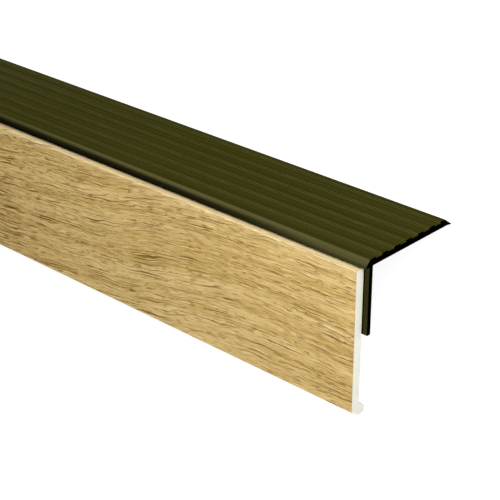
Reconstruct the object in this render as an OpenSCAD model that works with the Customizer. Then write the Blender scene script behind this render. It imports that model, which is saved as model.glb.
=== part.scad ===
// Stair nosing: a ribbed aluminium angle profile with a wood-look riser strip on its front leg.
//
// The section is drawn as it sits on a stair: y runs back from the nose, z runs up,
// and the top of the tread is z = 0. It is then turned about its length into the pose in
// which the loose part lies on a level floor, on the strip's foot and the tread's rear tip.

/* [Length] */
// Length of the nosing profile
stock_length = 900; // [200:10:2700]
// How far the riser strip stops short of each cut end of the profile
strip_inset = 2.5; // [0:0.5:20]

/* [Tread flange] */
// Depth of the tread flange, from the nose to the rear tip
tread_depth = 50; // [36:0.5:70]
// Thickness of the tread flange at its lands
flange_t = 2.9; // [2:0.1:5]
// How far the nose slopes back before it reaches the first land
nose_run = 2.6; // [1.5:0.1:4]
// Radius of the slight crown on the sloped nose
nose_crown_r = 9; // [5:0.5:40]
// Radius by which the crown rolls into the first land
nose_top_r = 1.5; // [0.3:0.1:2.5]
// How far the nose hangs below the underside of the flange
nose_lip = 0.15; // [0.05:0.05:1]
// How far the rear bevel runs, from the last land to the tip
bevel_run = 4.5; // [2:0.1:8]
// How far the rear tip is turned down below the underside of the flange
tip_drop = 0.45; // [0.1:0.05:1]
// How far in front of the tip the underside starts to turn down
tip_run = 3; // [1:0.1:5]

/* [Grooves] */
// Distance from the nose to the front of the first groove
groove_start = 5.75; // [5:0.05:9]
// Spacing of the grooves
groove_pitch = 6.75; // [5:0.05:12]
// Width of a groove
groove_w = 3.3; // [1.5:0.1:4.5]
// Depth of a groove
groove_d = 0.6; // [0.5:0.05:1.4]
// Radius of the land edges beside a groove
land_r = 0.2; // [0.1:0.05:0.25]
// Radius of the two bottom corners of a groove
groove_r = 0.2; // [0.1:0.05:0.3]
// Least width of the last land, in front of the bevel
last_land_min = 2; // [1:0.1:4]

/* [Front leg] */
// Distance from the nose back to the front face of the leg
leg_setback = 2.2; // [1:0.05:3]
// Thickness of the leg
leg_t = 1.9; // [1.2:0.1:3]
// Height from the top of the tread to the bottom of the leg
leg_drop = 30.3; // [15:0.1:45]
// Radius of the two bottom edges of the leg
leg_edge_r = 0.3; // [0.1:0.05:0.5]
// Radius of the inner corner between leg and flange
inner_r = 0.5; // [0.2:0.1:1.5]

/* [Riser strip] */
// Thickness of the strip, with its foil
strip_t = 4; // [3:0.1:8]
// Height of the strip, from its top to the bottom of its foot
strip_h = 60.15; // [48:0.05:100]
// Height of the gap between the nose and the strip's top
strip_gap = 0.85; // [0.1:0.05:3]
// Radius of the strip's top front edge, over the foil
strip_edge_r = 0.7; // [0.6:0.1:2.5]
// Thickness of the decor foil
foil_t = 0.2; // [0.15:0.05:0.5]

/* [Foot of the strip] */
// How far the foot stands out behind the back of the strip
foot_d = 3.1; // [2:0.1:6]
// Height of the foot's upright back, above its rounded heel
foot_back_h = 1.8; // [0.5:0.1:4]
// How steeply the foot's upper side falls away from the strip, in degrees
shoulder_slope = 30; // [15:1:60]
// Radius of the foot's upper shoulder
shoulder_r = 1.3; // [0.5:0.1:2.3]
// Radius of the hollow between the shoulder and the back of the strip
hollow_r = 1.5; // [0.5:0.1:3]
// Radius of the heel, the bottom back edge of the foot
heel_r = 0.5; // [0.2:0.05:1]
// How far the foot reaches below the front face of the strip
toe_rise = 2.65; // [1:0.05:5]
// How far the sloped toe runs back under the strip
toe_run = 3.6; // [1:0.1:5]

/* [Hidden] */
arc_fn = 96;
// How far a cut runs past the face it opens, and how far a fillet bites into its walls
over = 1;
bite = 0.5;
// How far a round stretch laps over the one it runs on into, so that the two cross
lap = 0.002;

// Centre of the circle of radius r through a and b, on the right of the way from a to b
function arc_centre(a, b, r) =
    let (mid = (a + b) / 2, half = norm(b - a) / 2, way = (b - a) / norm(b - a))
    mid + sqrt(r * r - half * half) * [way[1], -way[0]];

// Heights and depths of the nosing section
underside_z = -flange_t;
nose_z = underside_z - nose_lip;
tip = [tread_depth, underside_z - tip_drop];
bevel_y = tread_depth - bevel_run;
leg_back_y = leg_setback + leg_t;
groove_room = bevel_y - last_land_min - groove_w - groove_start;
groove_count = floor(groove_room / groove_pitch) + 1;

// Heights and depths of the strip, whose back lies on the leg, a little way below the nose
strip_front_y = leg_setback - strip_t;
strip_top_z = nose_z - strip_gap;
foot_z = strip_top_z - strip_h;
face_bottom_z = foot_z + toe_rise;
foot_back_y = leg_setback + foot_d;
heel_c = [foot_back_y - heel_r, foot_z + heel_r];
shoulder_c = [foot_back_y - shoulder_r, heel_c[1] + foot_back_h];

// The foot's sloped upper side runs on into the shoulder below it and the hollow above it
slope_way = [sin(shoulder_slope), cos(shoulder_slope)];
slope_reach = slope_way * shoulder_c + shoulder_r - lap;
function slope_z(y) = (slope_reach - slope_way[0] * y) / slope_way[1];
hollow_y = leg_setback + hollow_r;
hollow_c = [hollow_y, slope_z(hollow_y) + (hollow_r - lap) / slope_way[1]];

// The roll runs on into the level top of the first land and, from inside, into the crown
crown_c = arc_centre([0, nose_z], [nose_run, 0], nose_crown_r);
roll_drop = crown_c[1] + nose_top_r;
roll_span = sqrt(pow(nose_crown_r - nose_top_r + lap, 2) - roll_drop * roll_drop);
roll_c = [crown_c[0] - roll_span, -nose_top_r];
roll_way = (roll_c - crown_c) / norm(roll_c - crown_c);

// Pose at rest: the line under the heel and the rear tip is turned level
heel_to_tip = tip - heel_c;
rest_turn = atan2(heel_to_tip[1], heel_to_tip[0]) + asin(heel_r / norm(heel_to_tip));
function turned_y(p) = p[0] * cos(rest_turn) + p[1] * sin(rest_turn);
function turned_z(p) = p[1] * cos(rest_turn) - p[0] * sin(rest_turn);
back_reach = max(turned_y(tip), turned_y([bevel_y, 0]));
toe = [strip_front_y + toe_run, foot_z];
front_reach = min(turned_y([strip_front_y, face_bottom_z]), turned_y(toe));
rest_shift = [0, -(back_reach + front_reach) / 2, -turned_z(tip)];

// Lays a section on the length, centred, in the pose at rest
module stock(length) {
    translate(rest_shift)
        rotate([-rest_turn, 0, 0])
        translate([-length / 2, 0, 0])
        rotate([90, 0, 90])
        linear_extrude(height = length)
        children();
}

// What a convex corner loses to a radius: the corner is at the origin, its solid at -x, -y
module corner_loss(r) {
    difference() {
        translate([-r, -r])
            square(r + over);
        translate([-r, -r])
            circle(r, $fn = arc_fn);
    }
}

// What a concave corner gains from a radius: the free space is at +x, +y
module corner_gain(r) {
    difference() {
        translate([-bite, -bite])
            square(r + bite);
        translate([r, r])
            circle(r, $fn = arc_fn);
    }
}

// The quarter of a disc that lies at +x, +y
module quarter_disc(r) {
    intersection() {
        circle(r, $fn = arc_fn);
        square(r);
    }
}

// Tread flange with its bevelled rear and its turned-down tip, open in front for the nose
module flange_outline() {
    polygon([
        [bite, nose_z],
        [leg_back_y, nose_z],
        [leg_back_y, underside_z],
        [tread_depth - tip_run, underside_z],
        tip,
        [bevel_y, 0],
        [roll_c[0], 0],
        roll_c
    ]);
}

// The slightly crowned slope of the nose, and the roll between it and the first land
module nose_front() {
    intersection() {
        translate(crown_c)
            circle(nose_crown_r, $fn = arc_fn);
        polygon([
            roll_c,
            roll_c + (nose_top_r + over) * roll_way,
            [-over, 0],
            [-over, nose_z],
            [bite, nose_z]
        ]);
    }
    translate(roll_c)
        rotate(90)
        quarter_disc(nose_top_r);
}

// Square groove with rounded bottom corners, between two rounded land edges
module groove() {
    difference() {
        translate([0, -groove_d])
            square([groove_w, groove_d + over]);
        translate([0, -groove_d])
            corner_gain(groove_r);
        translate([groove_w, -groove_d])
            rotate(90)
            corner_gain(groove_r);
    }
    corner_loss(land_r);
    translate([groove_w, 0])
        rotate(90)
        corner_loss(land_r);
}

module grooved_flange() {
    difference() {
        flange_outline();
        for (i = [0 : groove_count - 1])
            translate([groove_start + i * groove_pitch, 0])
                groove();
    }
}

// Short leg under the nose, running up into it by the nose's lip
module leg_section() {
    difference() {
        translate([leg_setback, -leg_drop])
            square([leg_t, leg_drop + underside_z]);
        translate([leg_back_y, -leg_drop])
            rotate(-90)
            corner_loss(leg_edge_r);
        translate([leg_setback, -leg_drop])
            rotate(180)
            corner_loss(leg_edge_r);
    }
}

module nosing_section() {
    union() {
        grooved_flange();
        nose_front();
        leg_section();
        translate([leg_back_y, underside_z])
            rotate(-90)
            corner_gain(inner_r);
    }
}

// Front, rounded top edge and top of the strip, drawn in from its outer skin by an inset
module strip_outline(inset) {
    front_y = strip_front_y + inset;
    top_z = strip_top_z - inset;
    difference() {
        translate([front_y, face_bottom_z])
            square([leg_setback - front_y, top_z - face_bottom_z]);
        translate([front_y, top_z])
            rotate(90)
            corner_loss(strip_edge_r - inset);
    }
}

// Foot below and behind the strip, with a sloped toe, a rounded heel and a shoulder
module foot_section() {
    slope_start = shoulder_c + (shoulder_r - lap) * slope_way;
    difference() {
        union() {
            polygon([
                [strip_front_y + foil_t, face_bottom_z],
                [strip_front_y, face_bottom_z],
                toe,
                [heel_c[0], foot_z],
                heel_c,
                [foot_back_y, heel_c[1]],
                [foot_back_y, shoulder_c[1]],
                shoulder_c,
                slope_start,
                [leg_setback, slope_z(leg_setback)],
                [leg_setback, face_bottom_z]
            ]);
            translate(heel_c)
                rotate(-90)
                quarter_disc(heel_r);
            translate(shoulder_c)
                quarter_disc(shoulder_r);
            polygon([
                [leg_setback, face_bottom_z],
                hollow_c - (hollow_r + bite) * slope_way,
                hollow_c,
                [leg_setback, hollow_c[1]]
            ]);
        }
        translate(hollow_c)
            circle(hollow_r, $fn = arc_fn);
    }
}

module nosing_profile() {
    color("#39381a")
        stock(stock_length)
        nosing_section();
}

module riser_strip() {
    color("#eeebe0")
        stock(stock_length - 2 * strip_inset)
        union() {
            strip_outline(foil_t);
            foot_section();
        }
}

module decor_foil() {
    color("#c8aa6b")
        stock(stock_length - 2 * strip_inset)
        difference() {
            strip_outline(0);
            strip_outline(foil_t);
        }
}

nosing_profile();
riser_strip();
decor_foil();
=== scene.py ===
# %% [markdown]
# # A stair nosing with a wood-look riser strip
#
# The object is a length of extruded aluminium profile, anodised a dark olive bronze. Its ribbed
# tread flange lies on the front edge of a stair, and a short leg hangs down in front of it. On
# that leg sits a riser strip: a white plastic core under a thin foil printed as oak.
#
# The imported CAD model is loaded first, as the fixed frame. Its three nodes have the right shape,
# but as a CAD tool exports them: cut up into triangles. A mesh with one long face for each stretch
# of the section is easier to sort by finish and to lay a print on. So each piece is drawn again at
# the same sizes, as a die draws it: a section, pushed out to its length.

import math

import bpy
from mathutils import Matrix, Vector


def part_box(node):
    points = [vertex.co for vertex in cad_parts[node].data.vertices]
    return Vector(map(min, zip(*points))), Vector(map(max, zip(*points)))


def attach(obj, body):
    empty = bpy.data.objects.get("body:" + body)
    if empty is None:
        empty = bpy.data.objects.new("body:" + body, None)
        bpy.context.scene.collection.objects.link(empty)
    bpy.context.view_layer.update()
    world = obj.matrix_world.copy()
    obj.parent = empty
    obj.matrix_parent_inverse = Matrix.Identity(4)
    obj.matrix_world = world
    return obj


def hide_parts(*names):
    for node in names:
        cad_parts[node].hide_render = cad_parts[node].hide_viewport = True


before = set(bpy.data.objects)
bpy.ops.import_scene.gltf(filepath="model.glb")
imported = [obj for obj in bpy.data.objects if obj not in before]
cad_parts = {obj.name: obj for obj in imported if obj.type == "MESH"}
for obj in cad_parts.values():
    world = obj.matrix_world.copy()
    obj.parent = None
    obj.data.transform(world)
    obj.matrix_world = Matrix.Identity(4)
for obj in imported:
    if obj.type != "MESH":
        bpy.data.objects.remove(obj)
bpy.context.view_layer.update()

MM = 0.001

# %% [markdown]
# ## Sizes
#
# All sizes are in millimetres, and are the ones of the part's source. The section is drawn as it
# sits on a stair: y runs back from the nose, z runs up, and the tread's top is z = 0. Its length
# lies on x, centred, so the cut end that the camera sees is at half the length.

# %% Sizes of the section
LENGTH = 900.0
STRIP_INSET = 2.5

TREAD_DEPTH, FLANGE = 50.0, 2.9
NOSE_RUN, CROWN_R, ROLL_R, NOSE_LIP = 2.6, 9.0, 1.5, 0.15
BEVEL_RUN, TIP_DROP, TIP_RUN = 4.5, 0.45, 3.0
GROOVES, GROOVE_START, GROOVE_PITCH = 6, 5.75, 6.75
GROOVE_W, GROOVE_D, LAND_R, GROOVE_R = 3.3, 0.6, 0.2, 0.2
LEG_SETBACK, LEG, LEG_DROP, LEG_EDGE_R, INNER_R = 2.2, 1.9, 30.3, 0.3, 0.5

STRIP, STRIP_H, STRIP_GAP, STRIP_EDGE_R, FOIL = 4.0, 60.15, 0.85, 0.7, 0.2
FOOT, FOOT_BACK_H, SHOULDER_SLOPE, SHOULDER_R, HOLLOW_R = 3.1, 1.8, 30.0, 1.3, 1.5
HEEL_R, TOE_RISE, TOE_RUN = 0.5, 2.65, 3.6

underside_z = -FLANGE
nose_z = underside_z - NOSE_LIP
tip = Vector((TREAD_DEPTH, underside_z - TIP_DROP))
bevel_y = TREAD_DEPTH - BEVEL_RUN
leg_back_y = LEG_SETBACK + LEG
front_y = LEG_SETBACK - STRIP
strip_top_z = nose_z - STRIP_GAP
foot_z = strip_top_z - STRIP_H
face_bottom_z = foot_z + TOE_RISE
foot_back_y = LEG_SETBACK + FOOT
heel = Vector((foot_back_y - HEEL_R, foot_z + HEEL_R))
shoulder = Vector((foot_back_y - SHOULDER_R, heel.y + FOOT_BACK_H))
toe = Vector((front_y + TOE_RUN, foot_z))
print("Section:", TREAD_DEPTH - front_y, "mm deep and", round(-foot_z, 3), "mm high")

# %% [markdown]
# ## How the loose part lies
#
# Nothing holds the part here, so it lies as it would on a workbench: on the heel of the strip's
# foot and on the rear tip of the tread, with the nose up. Both touch one line, and turning that
# line level gives the pose. Each piece is drawn in the section's own frame, which is easy to
# think in, and laid down at the end.

# %% The pose at rest
heel_to_tip = tip - heel
rest_turn = math.atan2(heel_to_tip.y, heel_to_tip.x) + math.asin(HEEL_R / heel_to_tip.length)
TURN = Matrix.Rotation(-rest_turn, 4, "X")


def turned(y, z):
    """A point of the section after the turn, in millimetres."""
    point = TURN @ Vector((0, y, z))
    return point.y, point.z


reach_back = max(turned(*tip)[0], turned(bevel_y, 0)[0])
reach_front = min(turned(front_y, face_bottom_z)[0], turned(*toe)[0])
rest_shift = Vector((0, -(reach_back + reach_front) / 2, -turned(*tip)[1]))
REST = Matrix.Translation(rest_shift * MM) @ TURN
print("Turned by", round(math.degrees(rest_turn), 3), "degrees")

# %% [markdown]
# ## A pen for sections
#
# A press pushes metal or plastic through a die, so the section is the whole design. The pen
# starts as one vertex, made by merging a small plane. Extruding it draws a straight stretch, and
# spinning it draws a true arc. An outline could also be a list of points, but an arc is then only
# as good as the sums behind it. Spin turns clockwise for a positive angle, so the pen's own turn,
# which is anticlockwise, changes the sign.

# %% The pen
ARC_STEP = 11.25
pen = {"at": Vector((0, 0)), "x": 0.0}


def start_pen(name, x, y, z):
    """Puts one vertex at a point of the section, in a new object in edit mode."""
    bpy.ops.object.select_all(action="DESELECT")
    bpy.ops.mesh.primitive_plane_add(size=MM)
    bpy.context.object.name = name
    bpy.ops.object.mode_set(mode="EDIT")
    bpy.ops.mesh.select_all(action="SELECT")
    bpy.ops.mesh.merge(type="CENTER")
    bpy.ops.transform.translate(value=(x * MM, y * MM, z * MM))
    pen["at"], pen["x"] = Vector((y, z)), x
    return bpy.context.object


def line_to(y, z):
    """Draws a straight stretch to a point of the section."""
    step = (Vector((y, z)) - pen["at"]) * MM
    bpy.ops.mesh.extrude_region_move(TRANSFORM_OT_translate={"value": (0, step.x, step.y)})
    pen["at"] = Vector((y, z))


def arc(y, z, turn):
    """Draws an arc about a centre, by a turn in degrees, anticlockwise where positive."""
    bpy.ops.mesh.spin(
        steps=max(2, math.ceil(abs(turn) / ARC_STEP)),
        angle=-math.radians(turn),
        center=(pen["x"] * MM, y * MM, z * MM),
        axis=(1, 0, 0),
    )
    centre = Vector((y, z))
    spoke = Matrix.Rotation(math.radians(turn), 2) @ (pen["at"] - centre)
    pen["at"] = centre + spoke


def pen_place():
    """Where the pen is in the section, rounded for printing."""
    return [round(side, 3) for side in pen["at"]]


print("An arc turns by at most", ARC_STEP, "degrees a step")

# %% [markdown]
# ## From an outline to a length
#
# Where the pen's last point lies on its first, the two are joined. Then the outline gets a face,
# which also draws its last side where one is missing, and the face is extruded to the length, as
# the press does. Some faces may point inwards after that, so they are all turned outwards.

# %% Push an outline out
SAME_POINT = 0.002


def join_points():
    """Selects all that the pen drew, and joins the points that lie on each other."""
    bpy.ops.mesh.select_all(action="SELECT")
    bpy.ops.mesh.remove_doubles(threshold=SAME_POINT * MM)


def extrude_length(length):
    """Extrudes what is selected from the near end to the far one."""
    bpy.ops.mesh.extrude_region_move(TRANSFORM_OT_translate={"value": (-length * MM, 0, 0)})


def face_outwards():
    """Turns every face outwards and leaves edit mode."""
    bpy.ops.mesh.select_all(action="SELECT")
    bpy.ops.mesh.normals_make_consistent(inside=False)
    bpy.ops.object.mode_set(mode="OBJECT")


def push_out(length):
    """Closes the outline with a face and extrudes it to its length."""
    join_points()
    bpy.ops.mesh.edge_face_add()
    extrude_length(length)
    face_outwards()


print("Points closer than", SAME_POINT, "mm are joined")

# %% [markdown]
# ## The last steps for every piece
#
# Small rounds are shaded smooth, and real edges stay sharp. The Weighted Normal modifier keeps
# the large flat faces flat beside the rounds, which smooth shading alone would darken. Then the
# piece is laid down. Its place goes into its mesh, and its box is measured against its CAD node.

# %% Finish a piece
SMOOTH_UP_TO = 30


def finish_piece(piece, node):
    """Shades a piece, lays it down on the floor and lets it stand for its CAD node."""
    bpy.ops.object.select_all(action="DESELECT")
    piece.select_set(True)
    bpy.context.view_layer.objects.active = piece
    bpy.ops.object.shade_smooth_by_angle(angle=math.radians(SMOOTH_UP_TO))
    weighted = piece.modifiers.new("flat_faces_stay_flat", "WEIGHTED_NORMAL")
    weighted.keep_sharp = True
    bpy.ops.object.modifier_apply(modifier=weighted.name)
    piece.matrix_world = REST
    bpy.ops.object.transform_apply(location=True, rotation=True, scale=True)
    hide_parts(node)
    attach(piece, "root")

    sides = list(zip(*piece.bound_box))
    node_low, node_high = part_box(node)
    below = Vector([min(side) for side in sides]) - node_low
    above = Vector([max(side) for side in sides]) - node_high
    off = max(abs(gap) for gap in (*below, *above)) / MM
    print(piece.name, "-", len(piece.data.polygons), "faces,", round(off, 3), "mm off its node")


print("Edges of up to", SMOOTH_UP_TO, "degrees are shaded smooth")

# %% [markdown]
# ## The aluminium profile
#
# One extrusion: a flange with a slightly crowned nose, seven lands and six square grooves, a
# bevelled rear whose tip turns down a little, and the leg. The outline runs anticlockwise from the
# nose's lower corner: under the nose, round the leg, along the underside and up the rear bevel.

# %% Draw the leg, the underside and the rear
x_near = LENGTH / 2
nosing = start_pen("stair_nosing_profile", x_near, 0, nose_z)
line_to(LEG_SETBACK, nose_z)
line_to(LEG_SETBACK, -LEG_DROP + LEG_EDGE_R)
arc(LEG_SETBACK + LEG_EDGE_R, -LEG_DROP + LEG_EDGE_R, 90)
line_to(leg_back_y - LEG_EDGE_R, -LEG_DROP)
arc(leg_back_y - LEG_EDGE_R, -LEG_DROP + LEG_EDGE_R, 90)
line_to(leg_back_y, underside_z - INNER_R)
arc(leg_back_y + INNER_R, underside_z - INNER_R, -90)
line_to(TREAD_DEPTH - TIP_RUN, underside_z)
line_to(*tip)
line_to(bevel_y, 0)
print("The last land starts at", pen_place())

# %% [markdown]
# The lands and grooves are drawn from the rear to the front. A land's edges and a groove's two
# bottom corners are rounded, because a die can't be sharp, and because those small rounds catch
# the light as thin bright lines.

# %% Draw the lands and the grooves
for i in reversed(range(GROOVES)):
    groove_front = GROOVE_START + i * GROOVE_PITCH
    groove_back = groove_front + GROOVE_W
    line_to(groove_back + LAND_R, 0)
    arc(groove_back + LAND_R, -LAND_R, 90)
    line_to(groove_back, -GROOVE_D + GROOVE_R)
    arc(groove_back - GROOVE_R, -GROOVE_D + GROOVE_R, -90)
    line_to(groove_front + GROOVE_R, -GROOVE_D)
    arc(groove_front + GROOVE_R, -GROOVE_D + GROOVE_R, -90)
    line_to(groove_front, -LAND_R)
    arc(groove_front - LAND_R, -LAND_R, 90)
print("The first land is reached at", pen_place())

# %% [markdown]
# The nose slopes back with a slight crown, and a smaller round rolls it into the first land. The
# crown's centre follows from the two ends of its slope. The roll touches the crown from inside and
# the land from below, which gives its centre, so neither join shows as an edge.

# %% Draw the nose and push the profile out
nose = Vector((0, nose_z))
chord = Vector((NOSE_RUN, -nose_z))
from_chord = math.sqrt(CROWN_R**2 - (chord.length / 2) ** 2)
crown = nose + chord / 2 + Vector((chord.y, -chord.x)).normalized() * from_chord
roll_span = math.sqrt((CROWN_R - ROLL_R) ** 2 - (crown.y + ROLL_R) ** 2)
roll = Vector((crown.x - roll_span, -ROLL_R))


def bearing(way):
    """The direction of a way in the section, in degrees anticlockwise from the y axis."""
    return math.degrees(math.atan2(way.y, way.x))


roll_end, crown_end = bearing(roll - crown), bearing(nose - crown)
line_to(roll.x, 0)
arc(*roll, roll_end - 90)
arc(*crown, crown_end - roll_end)
print("The nose ends at", pen_place())
push_out(LENGTH)

# %% [markdown]
# It is one extrusion, but it doesn't look the same all over. Its faces are sorted by where they
# lie: the sawn ends, painted nearly black as painted shade; the small rounds along the grooves,
# which get a painted highlight; the groove floors that nothing rubs; and the front of the leg,
# which the strip is stuck to, with painted shade beside the strip. What is left is plainly
# anodised.

# %% Sort the profile's faces by finish
FINISHES = range(5)
ANODISED, HIGHLIGHTED, SAWN, BESIDE_STRIP, GROOVE_FLOOR = FINISHES

# How far a face is turned towards an axis: hardly at all, and fully
HARDLY, FULLY = 0.05, 0.995
# How far off a plane, in millimetres, the middle of a face may be that lies in it
FLUSH = 0.01

first_round = (GROOVE_START - LAND_R) * MM
last_round = (GROOVE_START + (GROOVES - 1) * GROOVE_PITCH + GROOVE_W + LAND_R) * MM
floor_z = -GROOVE_D * MM
# How far off a groove's floor a face may be that lies on it: a tenth of the groove's depth
slack = GROOVE_D * MM / 10


def is_cut_end(face):
    """Whether a face looks along the length, as only the two cut ends do."""
    return abs(face.normal.x) > FULLY


def finish_of(face):
    """The finish of one of the profile's faces."""
    on_ribs = first_round < face.center.y < last_round and face.center.z > floor_z - slack
    if is_cut_end(face):
        return SAWN
    # The small rounds get a painted highlight: a paler, matt copy of the metal.
    if on_ribs and HARDLY < abs(face.normal.y) < FULLY:
        return HIGHLIGHTED
    if on_ribs and face.center.z < floor_z + slack:
        return GROOVE_FLOOR
    if abs(face.center.y - LEG_SETBACK * MM) < FLUSH * MM:
        return BESIDE_STRIP
    return ANODISED


for face in nosing.data.polygons:
    face.material_index = finish_of(face)
counts = [sum(f.material_index == kind for f in nosing.data.polygons) for kind in FINISHES]
print("Faces anodised, rubbed, sawn, beside the strip and on groove floors:", counts)
finish_piece(nosing, "nosing_profile")

# %% [markdown]
# ## The riser strip's core
#
# The core is a plastic extrusion with a foot that points back and down. It could be a plain slab
# with a block behind it, but the soft shoulder, the hollow above it and the sloped toe are what
# the cut end shows. The foil's thickness is left free along its front and top.

# %% Draw the core's section
slope_angle = math.radians(SHOULDER_SLOPE)
slope = Vector((math.sin(slope_angle), math.cos(slope_angle)))
hollow_y = LEG_SETBACK + HOLLOW_R
hollow_reach = slope.dot(shoulder) + SHOULDER_R + HOLLOW_R
hollow = Vector((hollow_y, (hollow_reach - slope.x * hollow_y) / slope.y))
core_top_z = strip_top_z - FOIL
edge_centre = Vector((front_y + STRIP_EDGE_R, strip_top_z - STRIP_EDGE_R))

x_strip = x_near - STRIP_INSET
strip_length = LENGTH - 2 * STRIP_INSET
core = start_pen("riser_strip_core", x_strip, front_y + FOIL, face_bottom_z)
line_to(front_y, face_bottom_z)
line_to(*toe)
line_to(heel.x, foot_z)
arc(*heel, 90)
line_to(foot_back_y, shoulder.y)
arc(*shoulder, 90 - SHOULDER_SLOPE)
line_to(*(hollow - HOLLOW_R * slope))
arc(*hollow, SHOULDER_SLOPE - 90)
line_to(LEG_SETBACK, core_top_z)
line_to(edge_centre.x, core_top_z)
arc(*edge_centre, 90)
push_out(strip_length)
finish_piece(core, "riser_strip")

# %% [markdown]
# ## The oak foil
#
# The foil is a thin printed sheet, pressed on over the core's face, round its top edge and along
# its top to the leg. So it is made as a sheet: an open line pushed out to its length, which gets
# its thickness later.

# %% Draw the foil as a sheet
foil = start_pen("oak_decor_foil", x_strip, front_y, face_bottom_z)
line_to(front_y, edge_centre.y)
arc(*edge_centre, -90)
line_to(LEG_SETBACK, strip_top_z)
join_points()
extrude_length(strip_length)
bpy.ops.object.mode_set(mode="OBJECT")
print("The sheet has", len(foil.data.polygons), "faces")

# %% [markdown]
# The print follows the sheet round the bend, which a pattern in plain x, y and z can't do. So the
# sheet gets a UV map with its real size, in metres: its length one way, and the way over its face,
# its bend and its top the other.

# %% Map the sheet
face_height = edge_centre.y - face_bottom_z


def along_sheet(y, z):
    """Distance in millimetres from the foil's lower edge to a point, measured on the sheet."""
    if z <= edge_centre.y:
        return z - face_bottom_z
    if y < edge_centre.x:
        return face_height + math.atan2(z - edge_centre.y, edge_centre.x - y) * STRIP_EDGE_R
    return face_height + math.pi / 2 * STRIP_EDGE_R + y - edge_centre.x


sheet_map = foil.data.uv_layers.new(name="sheet")
for loop in foil.data.loops:
    point = foil.data.vertices[loop.vertex_index].co
    sheet_map.data[loop.index].uv = (point.x, along_sheet(point.y / MM, point.z / MM) * MM)
print("The sheet is", round(along_sheet(LEG_SETBACK, strip_top_z), 2), "mm wide when flat")

# %% [markdown]
# The Solidify modifier thickens the sheet. What was drawn is its outer side, so the thickness goes
# inwards, on whichever side of the faces that is. The outer side looks to the front and up, so a
# normal that points outwards has a greater z than y.

# %% Give the foil its thickness
first_normal = foil.data.polygons[0].normal
outward = first_normal.z > first_normal.y
thickness = foil.modifiers.new("foil_thickness", "SOLIDIFY")
thickness.thickness = FOIL * MM
thickness.offset = -1 if outward else 1
thickness.use_even_offset = True
bpy.context.view_layer.objects.active = foil
bpy.ops.object.modifier_apply(modifier=thickness.name)
bpy.ops.object.mode_set(mode="EDIT")
face_outwards()
finish_piece(foil, "decor_foil")

# %% [markdown]
# ## Materials
#
# Colours are written as sRGB hex values, as a colour picker gives them, and turned to the linear
# values that the shader works with. One function adds a node with its settings. An input gets
# another node's output, a colour or a number, in the same way for every kind of node.

# %% Colours and nodes


def linear(hex_colour):
    """An sRGB hex colour as linear red, green, blue and alpha."""
    parts = [int(hex_colour[i : i + 2], 16) / 255 for i in (1, 3, 5)]
    return [p / 12.92 if p <= 0.04045 else ((p + 0.055) / 1.055) ** 2.4 for p in parts] + [1.0]


def fill(material, node, inputs):
    """Gives a node's inputs what they take: an output of a node, a hex colour or plain numbers."""
    for key, value in inputs.items():
        if isinstance(value, bpy.types.NodeSocket):
            material.node_tree.links.new(value, node.inputs[key])
        elif isinstance(value, str):
            node.inputs[key].default_value = linear(value)
        else:
            node.inputs[key].default_value = value


def add(material, kind, inputs, **settings):
    """Adds a node with its settings, fills its inputs and returns its outputs."""
    node = material.node_tree.nodes.new("ShaderNode" + kind)
    for key, value in settings.items():
        setattr(node, key, value)
    fill(material, node, inputs)
    return node.outputs


print("Mid grey, #808080, is", round(linear("#808080")[0], 3), "in linear light")

# %% [markdown]
# The patterns are noise, drawn out by a Mapping node whose scale comes from sizes in millimetres.
# A piece's own coordinates are in metres, so they are turned to millimetres first. Each coat of
# colour then covers what is below it as strongly as its pattern says.

# %% Patterns and coats
# The Mix node has sockets for each kind of value, and these are the ones for colours
MIX_BELOW, MIX_ABOVE, MIX_RESULT = 6, 7, 2


def in_millimetres(material, metres, turn=0.0):
    """Coordinates in millimetres from ones in metres, turned in degrees about z."""
    drawn = {"Vector": metres, "Scale": (1 / MM,) * 3, "Rotation": (0, 0, math.radians(turn))}
    return add(material, "Mapping", drawn)["Vector"]


def streaks(material, place, size, low=0.35, high=0.65, detail=2.0, shift=(0, 0, 0), to=(0, 1)):
    """Noise drawn out to a size in millimetres, soft-stepped from low to high.

    A shift picks another part of the noise, and to gives the results at low and at high.
    """
    stretch = {"Vector": place, "Scale": [1 / side for side in size], "Location": shift}
    drawn = add(material, "Mapping", stretch)["Vector"]
    cloud = {"Vector": drawn, "Scale": 1.0, "Detail": detail, "Roughness": 0.5}
    noise = add(material, "TexNoise", cloud)["Fac"]
    step = {"Value": noise, "From Min": low, "From Max": high, "To Min": to[0], "To Max": to[1]}
    return add(material, "MapRange", step, interpolation_type="SMOOTHSTEP")["Result"]


def painted(material, colour, *coats):
    """A colour under coats, each a pattern and the colour that covers where the pattern is 1."""
    for pattern, coat in coats:
        layers = {"Factor": pattern, MIX_BELOW: colour, MIX_ABOVE: coat}
        colour = add(material, "Mix", layers, data_type="RGBA")[MIX_RESULT]
    return colour


print("Patterns count in steps of", MM, "m, and coats go in at socket", MIX_ABOVE)

# %% [markdown]
# A new material comes with the Principled shader. Its inputs get numbers and colours where they
# are the same all over, and patterns where they aren't. Relief goes in through a Bump node.

# %% Start a material and dress its shader


def new_material(name):
    """A material with only a Principled shader, and the place on its piece in millimetres."""
    material = bpy.data.materials.new(name)
    material.use_nodes = True
    return material, in_millimetres(material, add(material, "TexCoord", {})["Object"])


def dress(material, inputs, height=None, depth=0.0):
    """Fills the shader's inputs, and adds relief of a depth in millimetres."""
    shader = material.node_tree.nodes["Principled BSDF"]
    fill(material, shader, inputs)
    if height:
        relief = add(material, "Bump", {"Height": height, "Distance": depth * MM})
        fill(material, shader, {"Normal": relief["Normal"]})
    print(material.name, "-", len(material.node_tree.nodes), "nodes")


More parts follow.
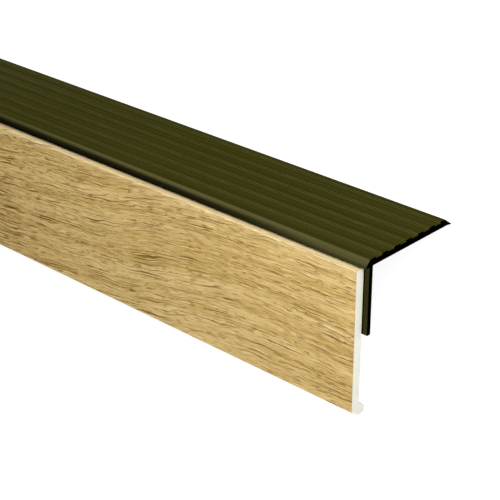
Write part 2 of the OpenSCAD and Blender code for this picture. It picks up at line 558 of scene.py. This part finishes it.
# %% [markdown]
# ## Anodised aluminium
#
# The real profile is extruded, then anodised and dyed a dark olive bronze. The die leaves lines
# along its length that are too fine to show at this scale, so they are drawn as coarse as they
# need to be. The satin etch before the dye bath blurs what the metal mirrors, so the lines change
# its roughness and colour a little, and have almost no depth.
#
# The tread is seen at a shallow angle, at which a plain metal would mirror the white room nearly
# whole. Its dyed oxide layer takes much of that light, which the edge tint below stands for.

# %% Anodised aluminium
# In millimetres: how long a die line is and how wide both ways, and how deep
DIE_LINE, DIE_LINE_DEPTH = (300, 0.35, 0.35), 0.0006
EDGE_TINT = "#babcb1"
# Share: how strongly a die line colours the metal
LINE_TINT = 0.4

aluminium, place = new_material("bronze_anodised_aluminium_extruded")
die_lines = streaks(aluminium, place, DIE_LINE)
faint_lines = add(aluminium, "Math", {0: die_lines, 1: LINE_TINT}, operation="MULTIPLY")[0]
dye_clouds = streaks(aluminium, place, (60, 9, 9))
tone = painted(aluminium, "#36331a", (dye_clouds, "#39371e"), (faint_lines, "#3f3c20"))
satin = streaks(aluminium, place, (200, 0.5, 0.5), 0.3, 0.7, shift=(5, 5, 5), to=(0.19, 0.25))
metal = {"Base Color": tone, "Metallic": 1.0, "Roughness": satin, "Specular Tint": EDGE_TINT}
dress(aluminium, metal, die_lines, DIE_LINE_DEPTH)

# %% [markdown]
# The small rounds along the lands are painted a paler, matt bronze: a painted highlight that
# makes them show as thin bright lines. The paler colour scatters the light more than it mirrors
# it, so the lines stay dim and don't flash like polished metal. The rounds at the bottom of a
# groove get the same painted highlight, because they are too small to tell from the ones above
# them.

# %% Painted highlights on the small rounds
highlighted, place = new_material("bronze_anodised_aluminium_painted_edge_highlight")
highlight_streaks = streaks(highlighted, place, (9, 0.6, 0.6))
# Painted highlight: a paler bronze than the anodised one, in soft streaks.
tone = painted(highlighted, "#413f19", (highlight_streaks, "#4a471c"))
dress(highlighted, {"Base Color": tone, "Roughness": 0.5, "Specular IOR Level": 0.1})

# %% [markdown]
# Hands, goods and the wrapping paper never reach the grooves' floors, which keep the dull etched
# finish. There the film scatters more light than it mirrors.

# %% Floors of the grooves
etched, place = new_material("bronze_anodised_aluminium_groove_floor")
die_lines = streaks(etched, place, DIE_LINE)
tone = painted(etched, "#35330f", (die_lines, "#3a3814"))
film = {"Base Color": tone, "Roughness": 0.7, "Specular IOR Level": 0.0}
dress(etched, film, die_lines, DIE_LINE_DEPTH)

# %% [markdown]
# The profile's ends are sawn. The blade leaves a coarse, torn face with marks that run up the
# section. Its colour is painted nearly black, as painted shade: a bare sawn end would be bright.

# %% Sawn end
SAW_MARK_DEPTH = 0.01

sawn, place = new_material("bronze_anodised_aluminium_sawn_end_painted_dark")
saw_marks = streaks(sawn, place, (1, 0.22, 12), 0.4, 0.6)
# Painted shade: the sawn end's colour is nearly black, with the marks a shade lighter.
tone = painted(sawn, "#010100", (saw_marks, "#060603"))
torn = streaks(sawn, place, (0.5, 0.5, 0.5), to=(0.5, 0.7))
metal = {"Base Color": tone, "Metallic": 1.0, "Roughness": torn, "Specular Tint": "#7c7c7c"}
dress(sawn, metal, saw_marks, SAW_MARK_DEPTH)

# %% [markdown]
# The strip is stuck to the leg. Beside each end of the strip and in the gap above it, the leg's
# front is painted nearly black: a thin line of painted shade in the joint. Without it the strip
# would seem to grow out of the metal.

# %% Leg beside the strip
# In millimetres: how far past the strip's end the painted shade reaches, and how long it fades
SHADE_REACH, SHADE_FADE = 0.5, 0.3

joint_shade, place = new_material("bronze_anodised_aluminium_painted_joint_shade")
die_lines = streaks(joint_shade, place, DIE_LINE)
metal_tone = painted(joint_shade, "#363319", (die_lines, "#3d3a1f"))
from_left = add(joint_shade, "SeparateXYZ", {"Vector": place})["X"]
from_middle = add(joint_shade, "Math", {0: from_left}, operation="ABSOLUTE")[0]
shade_end = LENGTH / 2 - STRIP_INSET + SHADE_REACH
fade = {"Value": from_middle, "From Min": shade_end, "From Max": shade_end + SHADE_FADE}
unshaded = add(joint_shade, "MapRange", fade, interpolation_type="SMOOTHSTEP")["Result"]
# Painted shade: near black over the leg's front beside the strip, fading out past its ends.
tone = painted(joint_shade, "#050503", (unshaded, metal_tone))
metal = {"Base Color": tone, "Metallic": 1.0, "Roughness": 0.3, "Specular Tint": EDGE_TINT}
dress(joint_shade, metal)

# %% [markdown]
# The five finishes go on the profile in the order in which its faces were sorted.

# %% Put the finishes on the profile
for material in (aluminium, highlighted, sawn, joint_shade, etched):
    nosing.data.materials.append(material)
print("Finishes of the profile:", len(nosing.data.materials))

# %% [markdown]
# ## White plastic
#
# The core is filled white plastic. Its long sides come smooth out of the die, with faint lines
# along them.

# %% Plastic core
plastic, place = new_material("white_plastic_extruded")
die_lines = streaks(plastic, place, (200, 0.7, 0.7))
tone = painted(plastic, "#e9e7da", (die_lines, "#edebdf"))
sheen = streaks(plastic, place, (80, 3, 3), 0.3, 0.7, to=(0.42, 0.52))
dress(plastic, {"Base Color": tone, "Roughness": sheen}, die_lines, depth=0.002)

# %% [markdown]
# Its ends are sawn, so they're matt, with fine marks that run up them. The blade also opens the
# plastic, and the filler in it shows as paler specks. Real ones are too fine to show, so these are
# drawn as coarse as they need to be.

# %% Sawn end of the core
sawn_plastic, place = new_material("white_plastic_sawn_end")
saw_marks = streaks(sawn_plastic, place, (1, 0.3, 9))
filler = streaks(sawn_plastic, place, (0.6, 0.6, 0.6), 0.4, 0.6, to=(0, 0.5))
tone = painted(sawn_plastic, "#ecebdc", (saw_marks, "#e6e5d6"), (filler, "#f0efe2"))
dress(sawn_plastic, {"Base Color": tone, "Roughness": 0.7}, saw_marks, SAW_MARK_DEPTH)

for material in (plastic, sawn_plastic):
    core.data.materials.append(material)
for face in core.data.polygons:
    face.material_index = int(is_cut_end(face))

# %% [markdown]
# ## Oak print
#
# The foil is printed with oak grain and embossed, so that its pores can be felt, and it is matt.
# What makes it read as oak is the pores: thin dark dashes of 3 to 8 mm that crowd into belts
# along the growth lines, some longer lines, and light flecks among them. All patterns are laid
# out on the sheet in millimetres, so the print bends over the strip's top edge as the foil does.
#
# The grain runs along the strip, and climbs over one long bow in front of the camera. A sine makes
# the bow, noise makes it waver, and both are added to the coordinates that the patterns read.

# %% The way the grain runs
# In millimetres: a full swing of the bow, its rise to either side, and where it is steepest
BOW, BOW_RISE, STEEPEST = 300.0, 5.7, 335.0
# In degrees: how far the grain leans off the strip's length
LEAN = -3.0

oak = bpy.data.materials.new("oak_print_foil_embossed")
oak.use_nodes = True
on_sheet = add(oak, "UVMap", {}, uv_map="sheet")["UV"]
sheet = in_millimetres(oak, on_sheet, turn=LEAN)
along = add(oak, "SeparateXYZ", {"Vector": sheet})["X"]
past = add(oak, "Math", {0: along, 1: STEEPEST}, operation="SUBTRACT")[0]
phase = add(oak, "Math", {0: past, 1: 2 * math.pi / BOW}, operation="MULTIPLY")[0]
swing = add(oak, "Math", {0: phase}, operation="SINE")[0]
bow = add(oak, "Math", {0: swing, 1: -BOW_RISE}, operation="MULTIPLY")[0]
wave = streaks(oak, sheet, (60, 30, 1), 0.25, 0.75, detail=1.0, to=(-1.2, 1.2))
ripple = streaks(oak, sheet, (14, 5, 1), 0.25, 0.75, detail=1.0, to=(-0.4, 0.4))
waver = add(oak, "Math", {0: wave, 1: ripple}, operation="ADD")[0]
sway = add(oak, "Math", {0: bow, 1: waver}, operation="ADD")[0]
sideways = add(oak, "CombineXYZ", {"Y": sway})["Vector"]
grain = add(oak, "VectorMath", {0: sheet, 1: sideways}, operation="ADD")["Vector"]
print("The grain climbs", 2 * BOW_RISE, "mm over", BOW / 2, "mm of the strip")

# %% [markdown]
# Noise alone makes soft clouds, which give the growth lines and the belts. Where it crosses its
# mean it draws a contour, though, and a narrow step around that contour is a thin line of an even
# width. Broken into dashes by more noise, such lines are the pores. The bright streaks and the dull
# ones read one noise, above its mean and below it.

# %% Growth lines, pores and flecks


def threads(material, place, size, half_width, shift):
    """Thin lines of an even width, where noise drawn out to a size crosses its mean."""
    low, high = 0.5 - half_width, 0.5 + half_width
    steps = streaks(material, place, size, low, high, shift=shift, to=(-1, 1))
    away = add(material, "Math", {0: steps}, operation="ABSOLUTE")[0]
    return add(material, "Math", {0: 1.0, 1: away}, operation="SUBTRACT")[0]


growth = streaks(oak, grain, (140, 5, 1), detail=3.0, shift=(33, 6, 0))
belts = streaks(oak, grain, (60, 2.6, 1), 0.38, 0.6, shift=(18, 12, 0), to=(0.55, 1))
broken = streaks(oak, grain, (5, 0.8, 1), 0.51, 0.56, shift=(3, 8, 0))
contours = threads(oak, grain, (16, 0.8, 1), 0.1, shift=(22, 14, 0))
dashes = add(oak, "Math", {0: contours, 1: broken}, operation="MULTIPLY")[0]
lines = streaks(oak, grain, (30, 0.5, 1), 0.57, 0.64, shift=(3, 2.6, 0))
marks = add(oak, "Math", {0: dashes, 1: lines}, operation="MAXIMUM")[0]
pores = add(oak, "Math", {0: marks, 1: belts}, operation="MULTIPLY")[0]
pale_marks = streaks(oak, grain, (8, 0.5, 1), 0.55, 0.62, shift=(22, 14.6, 0), to=(0, 0.55))
flecks = add(oak, "Math", {0: pale_marks, 1: belts}, operation="MULTIPLY")[0]
bright = streaks(oak, grain, (9, 0.6, 1), 0.5, 0.75, shift=(1, 4, 0))
dull = streaks(oak, grain, (9, 0.6, 1), 0.5, 0.25, shift=(1, 4, 0), to=(0, 0.15))
print("Patterns of the grain:", len(oak.node_tree.nodes), "nodes")

# %% [markdown]
# Round the strip's top edge the print is painted paler, as a painted highlight. It starts to pale
# a little below the bend, and is palest on the top. Where the grain's long bow is low, the pores
# have their full ink, and where it is high they are a little fainter.

# %% Colours and relief of the print
# In millimetres from where the bend starts: down to the first paling, and up to the palest
PALE_BELOW, PALE_ABOVE = 2.4, 3.4
# Shares: how much of the print is covered where it is palest, and the ink of the faintest pores
PALEST, FAINTEST = 0.55, 0.84
# Shares: how much of a bright streak's colour shows, and its height beside the depth of a pore
SHINE, RIDGES = 0.6, 0.5
# In millimetres: how deep the pores are pressed
EMBOSSING = 0.07

level = in_millimetres(oak, on_sheet)
across = add(oak, "SeparateXYZ", {"Vector": level})["Y"]
pale_from, pale_to = face_height - PALE_BELOW, face_height + PALE_ABOVE
# Painted highlight: the print pales from a little below the bend to the top.
band = {"Value": across, "From Min": pale_from, "From Max": pale_to, "To Max": PALEST}
painted_highlight = add(oak, "MapRange", band, interpolation_type="SMOOTHSTEP")["Result"]
fading = {"Value": swing, "From Min": -1.0, "To Min": 1.0, "To Max": FAINTEST}
ink = add(oak, "MapRange", fading)["Result"]
inked = add(oak, "Math", {0: pores, 1: ink}, operation="MULTIPLY")[0]
shine = add(oak, "Math", {0: bright, 1: SHINE}, operation="MULTIPLY")[0]
tone = painted(
    oak,
    "#ba9b5a",
    (growth, "#d1b376"),
    (shine, "#e6cb95"),
    (dull, "#95732a"),
    (flecks, "#ead19b"),
    (inked, "#664600"),
    (painted_highlight, "#ddcfa8"),
)
ridges = add(oak, "Math", {0: bright, 1: RIDGES}, operation="MULTIPLY")[0]
height = add(oak, "Math", {0: ridges, 1: pores}, operation="SUBTRACT")[0]
matt = {"Base Color": tone, "Roughness": 0.6, "Specular IOR Level": 0.0}
dress(oak, matt, height, EMBOSSING)
foil.data.materials.append(oak)

# %% [markdown]
# ## Camera
#
# The photograph's camera was found from the cut end: where the profile's corners lie in the
# picture fixes the direction, the focal length and the distance. It is written in the section's
# frame and laid down with the part.

# %% Camera
# In the photograph's pixels: its width, the focal length, and the near corner's place, which is
# where the tread's top and the nose's front would meet on the cut end
PICTURE_PX, FOCAL_PX = 500, 1504.6
NEAR_CORNER_PX = (365.82, 261.95)
# In millimetres: how far that corner lies in front of the camera, and the sensor's width
DEPTH, SENSOR = 513.8, 36.0
AZIMUTH, ELEVATION = math.radians(42.72), math.radians(26.90)

level_back = Vector((math.sin(AZIMUTH), -math.cos(AZIMUTH), 0))
back = level_back * math.cos(ELEVATION) + Vector((0, 0, math.sin(ELEVATION)))
right = Vector((math.cos(AZIMUTH), math.sin(AZIMUTH), 0))
up = back.cross(right)
near_corner = Vector((x_near, 0, 0))
px_right, px_down = (px - PICTURE_PX / 2 for px in NEAR_CORNER_PX)
mm_per_px = DEPTH / FOCAL_PX
eye = near_corner + back * DEPTH + (up * px_down - right * px_right) * mm_per_px

camera = bpy.data.objects.new("camera", bpy.data.cameras.new("camera"))
bpy.context.scene.collection.objects.link(camera)
camera.data.sensor_width = SENSOR
camera.data.lens = SENSOR * FOCAL_PX / PICTURE_PX
camera.data.clip_start, camera.data.clip_end = 0.02, 40
axes = Matrix((right, up, back)).transposed().to_4x4()
camera.matrix_world = REST @ Matrix.Translation(eye * MM) @ axes
bpy.context.scene.camera = camera
print("Camera at", [round(c, 3) for c in camera.matrix_world.translation])

# %% [markdown]
# ## Floor
#
# The photograph has a plain white ground. The floor is a matt grey plane with a white glow of its
# own for the rays that look at it, so it shows as white and still keeps a soft shadow. The rays
# that only carry light from the floor to the part see plain matt grey.

# %% Floor
FLOOR_SIZE = 24
GLOW = 0.88


def looking_rays(material):
    """1 for the rays that look at a thing: from the camera, in a mirror or through glass."""
    ray = add(material, "LightPath", {})
    direct_or_mirrored = {0: ray["Is Camera Ray"], 1: ray["Is Glossy Ray"]}
    seen = add(material, "Math", direct_or_mirrored, operation="MAXIMUM")[0]
    return add(material, "Math", {0: seen, 1: ray["Is Transmission Ray"]}, operation="MAXIMUM")[0]


bpy.ops.object.select_all(action="DESELECT")
bpy.ops.mesh.primitive_plane_add(size=FLOOR_SIZE)
floor = bpy.context.object
floor.name = "floor"
paper = bpy.data.materials.new("white_paper_ground")
paper.use_nodes = True
paper.node_tree.nodes.clear()
plain = add(paper, "BsdfDiffuse", {"Color": "#a0a0a0"})[0]
shaded = add(paper, "BsdfDiffuse", {"Color": "#7c7c7c"})[0]
glowing = add(paper, "Emission", {"Color": "#ffffff", "Strength": GLOW})[0]
shown = add(paper, "AddShader", {0: shaded, 1: glowing})[0]
either = add(paper, "MixShader", {0: looking_rays(paper), 1: plain, 2: shown})[0]
add(paper, "OutputMaterial", {"Surface": either})
paper.cycles.emission_sampling = "NONE"
floor.data.materials.append(paper)
print("Floor:", FLOOR_SIZE, "m square")

# %% [markdown]
# ## Surroundings
#
# Behind the floor the world is white for the rays that look at it. The light that it sends to the
# part is much weaker, so that the shaded sides stay darker than the lit ones.

# %% World
FILL_LIGHT = 0.13

world = bpy.data.worlds.new("studio")
bpy.context.scene.world = world
world.use_nodes = True
world.node_tree.nodes.clear()
dim = add(world, "Background", {"Color": "#ffffff", "Strength": FILL_LIGHT})[0]
white = add(world, "Background", {"Color": "#ffffff", "Strength": 1.0})[0]
either = add(world, "MixShader", {0: looking_rays(world), 1: dim, 2: white})[0]
add(world, "OutputWorld", {"Surface": either})
print("World: fill light", FILL_LIGHT, "of white")

# %% [markdown]
# ## Lamps
#
# Three soft square lamps stand round the near corner. The key lights the strip's face more than
# the tread, and the top lamp the tread more than the face. The large rim softbox behind the part
# gives the nose and the lands their long, dim highlights. The top lamp isn't seen in reflections.

# %% Lamps
target = REST @ (near_corner * MM)


def lamp(name, towards, distance, size, power):
    """A square soft lamp in a direction from the near corner, turned to face it."""
    light = bpy.data.lights.new(name, "AREA")
    light.size, light.energy = size, power
    thing = bpy.data.objects.new(name, light)
    bpy.context.scene.collection.objects.link(thing)
    direction = Vector(towards).normalized()
    thing.location = target + direction * distance
    thing.rotation_mode = "QUATERNION"
    thing.rotation_quaternion = direction.to_track_quat("Z", "Y")
    print(name, "-", power, "W,", size, "m wide")
    return thing


lamp("key", (0.50, -0.02, 0.87), distance=0.5, size=0.4, power=3.7)
top = lamp("top", (0.30, 0.46, 0.84), distance=0.5, size=0.4, power=1.4)
top.visible_glossy = False
lamp("rim_softbox", (-0.58, 0.42, 0.70), distance=1.1, size=0.7, power=3.0)

# %% [markdown]
# ## Black card
#
# Photographers hold a black card where a shiny thing would mirror the white room. This one hangs
# level in front of the part, towards its far end, and the nose's lower half turns dark in it as in
# the photograph. Only reflections show it: it casts no shadow and takes no light away.

# %% A black card, seen only in reflections
# In metres: its size along the part and across it, and where its middle is
CARD_WIDTH, CARD_DEPTH = 1.62, 1.60
CARD_PLACE = (-0.69, -0.70, 0.44)

bpy.ops.object.select_all(action="DESELECT")
bpy.ops.mesh.primitive_plane_add(size=1)
card = bpy.context.object
card.name = "black_card"
bpy.ops.transform.resize(value=(CARD_WIDTH, CARD_DEPTH, 1))
bpy.ops.transform.translate(value=CARD_PLACE)
bpy.ops.object.transform_apply(location=True, rotation=True, scale=True)
card.visible_camera = False
card.visible_diffuse = False
card.visible_transmission = False
card.visible_shadow = False
black = bpy.data.materials.new("black_card")
black.use_nodes = True
black.node_tree.nodes.clear()
soot = add(black, "BsdfDiffuse", {"Color": "#000000"})[0]
add(black, "OutputMaterial", {"Surface": soot})
card.data.materials.append(black)
print("Card:", [round(side, 2) for side in card.dimensions[:2]], "m")

# %% [markdown]
# ## Finish
#
# The colours are shown as they were written.

# %% Finish
bpy.context.scene.view_settings.view_transform = "Standard"
